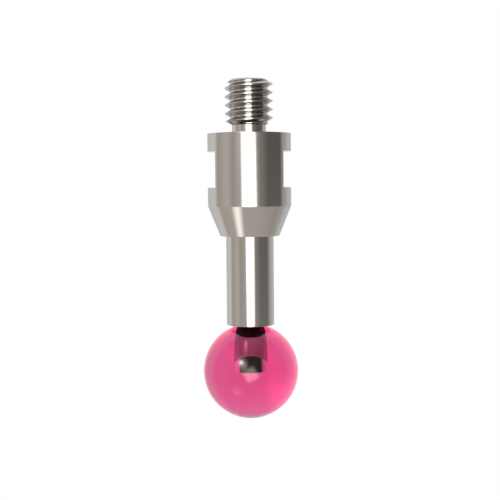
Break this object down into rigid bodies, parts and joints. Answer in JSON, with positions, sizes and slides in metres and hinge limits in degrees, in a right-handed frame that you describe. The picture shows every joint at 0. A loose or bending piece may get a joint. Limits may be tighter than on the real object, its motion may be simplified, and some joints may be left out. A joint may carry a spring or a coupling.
{
  "type": "cmm stylus",
  "caption": "Touch-probe stylus: a ruby ball on a straight steel stem, in a turned holder with spanner flats and a threaded stud above its mounting face.",
  "frame": {"origin": "centre of the holder's mounting face, on the stylus axis", "axes": "+Z along the stylus axis, out of the mounting face towards the end of the thread; the ball is on -Z and the spanner flats face +X and -X"},
  "size_m": [0.008, 0.008, 0.0285],
  "materials": {
    "holder_steel": "fine turned stainless steel, with faint tool lines round the axis",
    "stem_steel": "ground stainless steel",
    "ruby": "polished clear pink ruby",
    "resin": "cured dark adhesive"
  },
  "bodies": {
    "root": {"holder": "holder_steel", "stem": "stem_steel", "ball": "ruby", "neck_bond": "resin", "tip_bond": "resin"}
  },
  "joints": []
}
